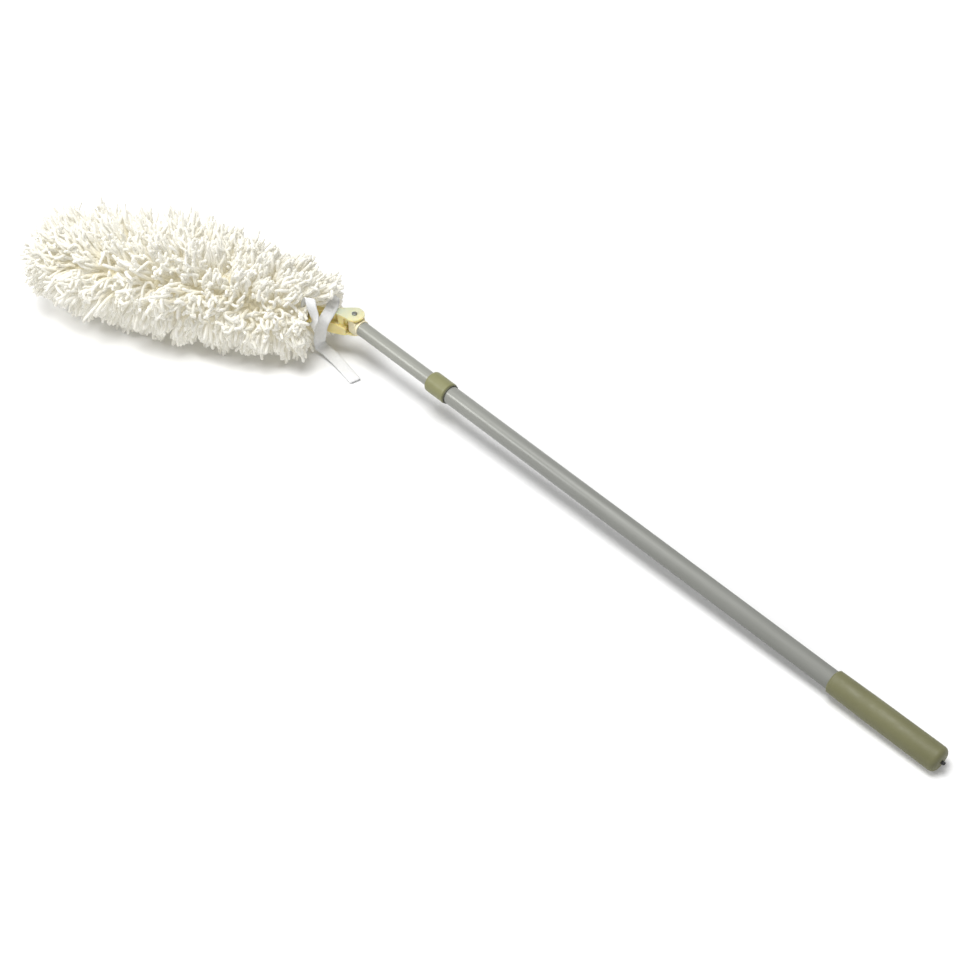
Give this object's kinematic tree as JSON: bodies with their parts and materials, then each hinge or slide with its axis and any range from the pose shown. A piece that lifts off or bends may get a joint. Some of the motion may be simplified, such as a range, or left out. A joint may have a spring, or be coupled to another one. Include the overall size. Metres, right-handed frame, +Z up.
{
  "type": "telescoping high duster",
  "caption": "Long-handled duster: telescoping twist-lock pole with grip, friction knuckle joint, and a frame blade carrying a removable tied-on yarn cover; lies flat with the head bent aside.",
  "frame": {"origin": "centre of the duster's footprint on the floor that it lies on", "axes": "+X along the pole from the head to the grip in plan, +Y to the far side in the picture, +Z up"},
  "size_m": [1.273, 0.2828, 0.1464],
  "materials": {
    "tube_paint": "satin grey paint",
    "olive_plastic": "moulded, satin",
    "grip_vinyl": "dip-moulded vinyl, satin",
    "black_rubber": "matte",
    "nylon": "moulded, natural",
    "steel": "plain",
    "dark_steel": "dark, satin",
    "pale_yellow_plastic": "moulded, low gloss",
    "canvas": "woven cotton",
    "cotton_yarn": "twisted cotton yarn",
    "cotton_tape": "woven cotton tape"
  },
  "bodies": {
    "pole_outer": {"outer_tube": "tube_paint", "grip_sleeve": "grip_vinyl", "end_plug": "black_rubber", "lock_collar": "olive_plastic", "collar_seal": "black_rubber"},
    "guide_bush": {"guide_bush": "nylon"},
    "pole_inner": {"inner_tube": "tube_paint", "lock_plug": "nylon", "cam_washer": "steel", "cam_screw": "steel", "pivot_socket": "pale_yellow_plastic", "friction_washer_upper": "nylon", "friction_washer_lower": "nylon"},
    "cam_ring": {"cam_ring": "nylon"},
    "head_frame": {"head_frame": "pale_yellow_plastic", "pivot_pin": "dark_steel", "pin_retainer": "steel"},
    "duster_cover": {"cover_sleeve": "canvas", "cover_hem": "canvas", "yarn_top": "cotton_yarn", "yarn_near_upper": "cotton_yarn", "yarn_near_lower": "cotton_yarn", "yarn_bottom": "cotton_yarn", "yarn_far_lower": "cotton_yarn", "yarn_far_upper": "cotton_yarn", "yarn_tip": "cotton_yarn", "tie_tape_long": "cotton_tape", "tie_tape_short": "cotton_tape"}
  },
  "joints": [
    {"name": "pole_twist", "type": "hinge", "parent": "pole_outer", "child": "guide_bush", "pos_m": [-0.10382, 0.10926, 0.04427], "axis": [-0.9992, 0, 0.0407], "range_deg": [0, 180]},
    {"name": "pole_extend", "type": "slide", "parent": "guide_bush", "child": "pole_inner", "axis": [-0.9992, 0, 0.0407], "range_m": [-0.11, 0.4]},
    {"name": "cam_turn", "type": "hinge", "parent": "pole_inner", "child": "cam_ring", "pos_m": [0.40086, 0.11001, 0.02369], "axis": [-0.9992, 0, 0.0407], "range_deg": [-180, 0]},
    {"name": "head_pivot", "type": "hinge", "parent": "pole_inner", "child": "head_frame", "pos_m": [-0.2443, 0.10926, 0.05], "axis": [0.0407, 0, 0.9992], "range_deg": [-119, 60]},
    {"name": "cover_pull_off", "type": "slide", "parent": "head_frame", "child": "duster_cover", "axis": [-0.8696, -0.4924, 0.0355], "range_m": [0, 0.4]}
  ],
  "couplings": [
    {"joint": "cam_turn", "follows": "pole_twist", "ratio": -1}
  ]
}
